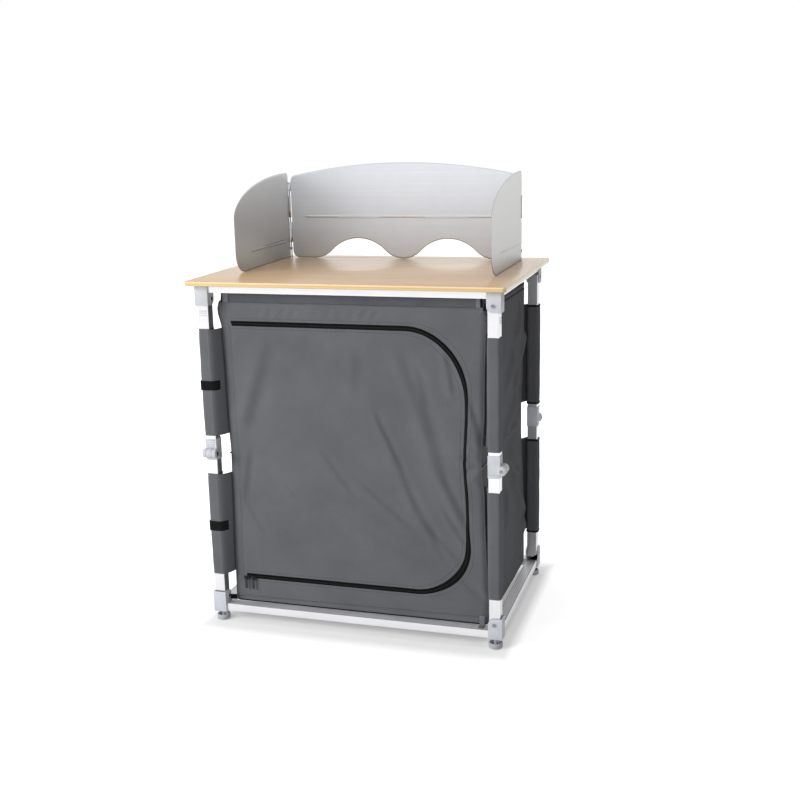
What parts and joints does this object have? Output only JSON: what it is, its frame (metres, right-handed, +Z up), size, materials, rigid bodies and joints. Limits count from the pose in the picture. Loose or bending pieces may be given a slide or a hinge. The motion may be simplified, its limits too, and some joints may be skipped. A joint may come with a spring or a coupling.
{
  "type": "camping kitchen unit",
  "caption": "Folding camp kitchen: a wood-look worktop with a hinged windscreen on knee-jointed legs, over a zipped fabric cabinet with a shelf.",
  "frame": {"origin": "on the floor, under the middle of the frame", "axes": "+Z up, +X to the right seen from the front, +Y to the back"},
  "size_m": [0.716, 0.516, 1.032],
  "materials": {
    "worktop": "glossy wood-grain laminate",
    "frame": "satin",
    "fitting": "satin moulded",
    "foot": "satin moulded",
    "cabinet": "coated woven",
    "sleeve": "coated woven",
    "board": "painted hardboard",
    "zip": "satin",
    "screen": "satin",
    "rod": "plated"
  },
  "bodies": {
    "base": {"bottom_rail_front": "frame", "bottom_rail_right": "frame", "bottom_rail_back": "frame", "bottom_rail_left": "frame", "bottom_connector_front_right": "fitting", "bottom_connector_back_right": "fitting", "bottom_connector_back_left": "fitting", "bottom_connector_front_left": "fitting", "floor_board": "board", "cabinet_bag": "cabinet", "front_panel": "cabinet"},
    "foot_front_right": {"foot_front_right": "foot"},
    "foot_back_right": {"foot_back_right": "foot"},
    "foot_back_left": {"foot_back_left": "foot"},
    "foot_front_left": {"foot_front_left": "foot"},
    "lower_front_right": {"lower_leg_front_right": "frame", "lower_knuckle_front_right": "fitting", "lower_sleeve_front_right": "sleeve"},
    "lower_back_right": {"lower_leg_back_right": "frame", "lower_knuckle_back_right": "fitting", "lower_sleeve_back_right": "sleeve"},
    "lower_back_left": {"lower_leg_back_left": "frame", "lower_knuckle_back_left": "fitting", "lower_sleeve_back_left": "sleeve"},
    "lower_front_left": {"lower_leg_front_left": "frame", "lower_knuckle_front_left": "fitting", "lower_sleeve_front_left": "sleeve"},
    "upper_front_right": {"upper_leg_front_right": "frame", "upper_knuckle_front_right": "fitting", "upper_sleeve_front_right": "sleeve"},
    "upper_back_right": {"upper_leg_back_right": "frame", "upper_knuckle_back_right": "fitting", "upper_sleeve_back_right": "sleeve"},
    "upper_back_left": {"upper_leg_back_left": "frame", "upper_knuckle_back_left": "fitting", "upper_sleeve_back_left": "sleeve"},
    "upper_front_left": {"upper_leg_front_left": "frame", "upper_knuckle_front_left": "fitting", "upper_sleeve_front_left": "sleeve"},
    "top_frame": {"table_top": "worktop", "top_rail_front": "frame", "top_rail_right": "frame", "top_rail_back": "frame", "top_rail_left": "frame", "top_connector_front_right": "fitting", "top_connector_back_right": "fitting", "top_connector_back_left": "fitting", "top_connector_front_left": "fitting"},
    "shelf": {"shelf_board": "board"},
    "door": {"door_flap": "cabinet"},
    "slider_left": {"zip_slider_left": "zip"},
    "pull_left": {"zip_pull_left": "zip"},
    "slider_right": {"zip_slider_right": "zip"},
    "pull_right": {"zip_pull_right": "zip"},
    "windscreen": {"windscreen_panel": "screen", "hinge_rod_left": "rod", "hinge_rod_right": "rod"},
    "wing_left": {"windscreen_wing_left": "screen"},
    "wing_right": {"windscreen_wing_right": "screen"}
  },
  "joints": [
    {"name": "fold", "type": "hinge", "parent": "base", "child": "lower_front_right", "pos_m": [0.3265, -0.2203, 0.058], "axis": [0, -1, 0], "range_deg": [0, 90], "deforming": ["cabinet_bag", "front_panel", "door_flap"]},
    {"name": "fold_back_right", "type": "hinge", "parent": "base", "child": "lower_back_right", "pos_m": [0.3265, 0.2203, 0.058], "axis": [1, 0, 0], "range_deg": [0, 90]},
    {"name": "fold_back_left", "type": "hinge", "parent": "base", "child": "lower_back_left", "pos_m": [-0.3265, 0.2203, 0.058], "axis": [0, 1, 0], "range_deg": [0, 90]},
    {"name": "fold_front_left", "type": "hinge", "parent": "base", "child": "lower_front_left", "pos_m": [-0.3265, -0.2203, 0.058], "axis": [-1, 0, 0], "range_deg": [0, 90]},
    {"name": "knee_front_right", "type": "hinge", "parent": "lower_front_right", "child": "upper_front_right", "pos_m": [0.3435, -0.2203, 0.408], "axis": [0, 1, 0], "range_deg": [0, 180]},
    {"name": "knee_back_right", "type": "hinge", "parent": "lower_back_right", "child": "upper_back_right", "pos_m": [0.3265, 0.2373, 0.408], "axis": [-1, 0, 0], "range_deg": [0, 180]},
    {"name": "knee_back_left", "type": "hinge", "parent": "lower_back_left", "child": "upper_back_left", "pos_m": [-0.3435, 0.2203, 0.408], "axis": [0, -1, 0], "range_deg": [0, 180]},
    {"name": "knee_front_left", "type": "hinge", "parent": "lower_front_left", "child": "upper_front_left", "pos_m": [-0.3265, -0.2373, 0.408], "axis": [1, 0, 0], "range_deg": [0, 180]},
    {"name": "worktop_level", "type": "hinge", "parent": "upper_front_right", "child": "top_frame", "pos_m": [0.3265, -0.2203, 0.758], "axis": [0, -1, 0], "range_deg": [0, 90]},
    {"name": "shelf_drop", "type": "slide", "parent": "base", "child": "shelf", "axis": [0, 0, -1], "range_m": [0, 0.32]},
    {"name": "door", "type": "hinge", "parent": "base", "child": "door", "pos_m": [-0.275, -0.2065, 0.4], "axis": [0, 0, -1], "range_deg": [0, 110]},
    {"name": "zip_left", "type": "slide", "parent": "base", "child": "slider_left", "axis": [1, 0, 0], "range_m": [0, 0.003]},
    {"name": "pull_left", "type": "hinge", "parent": "slider_left", "child": "pull_left", "pos_m": [-0.268, -0.2133, 0.102], "axis": [-1, 0, 0], "range_deg": [0, 90]},
    {"name": "zip_right", "type": "slide", "parent": "base", "child": "slider_right", "axis": [1, 0, 0], "range_m": [0, 0.19]},
    {"name": "pull_right", "type": "hinge", "parent": "slider_right", "child": "pull_right", "pos_m": [-0.25, -0.2133, 0.102], "axis": [-1, 0, 0], "range_deg": [0, 90]},
    {"name": "foot_front_right", "type": "slide", "parent": "base", "child": "foot_front_right", "axis": [0, 0, -1], "range_m": [0, 0.01]},
    {"name": "foot_back_right", "type": "slide", "parent": "base", "child": "foot_back_right", "axis": [0, 0, -1], "range_m": [0, 0.01]},
    {"name": "foot_back_left", "type": "slide", "parent": "base", "child": "foot_back_left", "axis": [0, 0, -1], "range_m": [0, 0.01]},
    {"name": "foot_front_left", "type": "slide", "parent": "base", "child": "foot_front_left", "axis": [0, 0, -1], "range_m": [0, 0.01]},
    {"name": "windscreen_lift", "type": "slide", "parent": "top_frame", "child": "windscreen", "axis": [0, 0, 1], "range_m": [0, 0.25]},
    {"name": "wing_left", "type": "hinge", "parent": "windscreen", "child": "wing_left", "pos_m": [-0.2875, 0.205, 0.9], "axis": [0, 0, 1], "range_deg": [-90, 90]},
    {"name": "wing_right", "type": "hinge", "parent": "windscreen", "child": "wing_right", "pos_m": [0.2975, 0.205, 0.9], "axis": [0, 0, -1], "range_deg": [-90, 84]}
  ],
  "couplings": [
    {"joint": "fold_back_right", "follows": "fold", "ratio": 1},
    {"joint": "fold_back_left", "follows": "fold", "ratio": 1},
    {"joint": "fold_front_left", "follows": "fold", "ratio": 1},
    {"joint": "knee_front_right", "follows": "fold", "ratio": 2},
    {"joint": "knee_back_right", "follows": "fold", "ratio": 2},
    {"joint": "knee_back_left", "follows": "fold", "ratio": 2},
    {"joint": "knee_front_left", "follows": "fold", "ratio": 2},
    {"joint": "worktop_level", "follows": "fold", "ratio": 1},
    {"joint": "shelf_drop", "follows": "fold", "m_per_rad": 0.2034}
  ]
}
